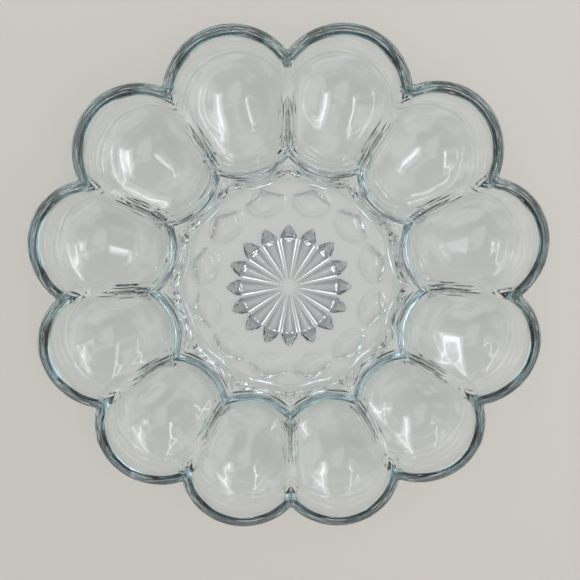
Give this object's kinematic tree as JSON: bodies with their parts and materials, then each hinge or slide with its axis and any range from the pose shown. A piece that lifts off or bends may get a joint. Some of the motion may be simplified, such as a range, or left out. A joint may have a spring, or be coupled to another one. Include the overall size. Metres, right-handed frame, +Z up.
{
  "type": "deviled egg platter",
  "caption": "Round clear pressed-glass platter with egg-shaped cups under a scalloped rim, round a flat dish with a star and a thumbprint border underneath.",
  "frame": {"origin": "middle of the foot ring, on the table", "axes": "+Z up through the middle of the dish, +Y through a notch of the rim, +X to its right seen from above"},
  "size_m": [0.2904, 0.2904, 0.033],
  "materials": {
    "clear_glass": "fire-polished clear pressed glass"
  },
  "bodies": {
    "root": {"egg_cup_01": "clear_glass", "egg_cup_02": "clear_glass", "egg_cup_03": "clear_glass", "egg_cup_04": "clear_glass", "egg_cup_05": "clear_glass", "egg_cup_06": "clear_glass", "egg_cup_07": "clear_glass", "egg_cup_08": "clear_glass", "egg_cup_09": "clear_glass", "egg_cup_10": "clear_glass", "egg_cup_11": "clear_glass", "egg_cup_12": "clear_glass", "foot_ring": "clear_glass", "thumbprint_border": "clear_glass", "star_medallion": "clear_glass"}
  },
  "joints": []
}
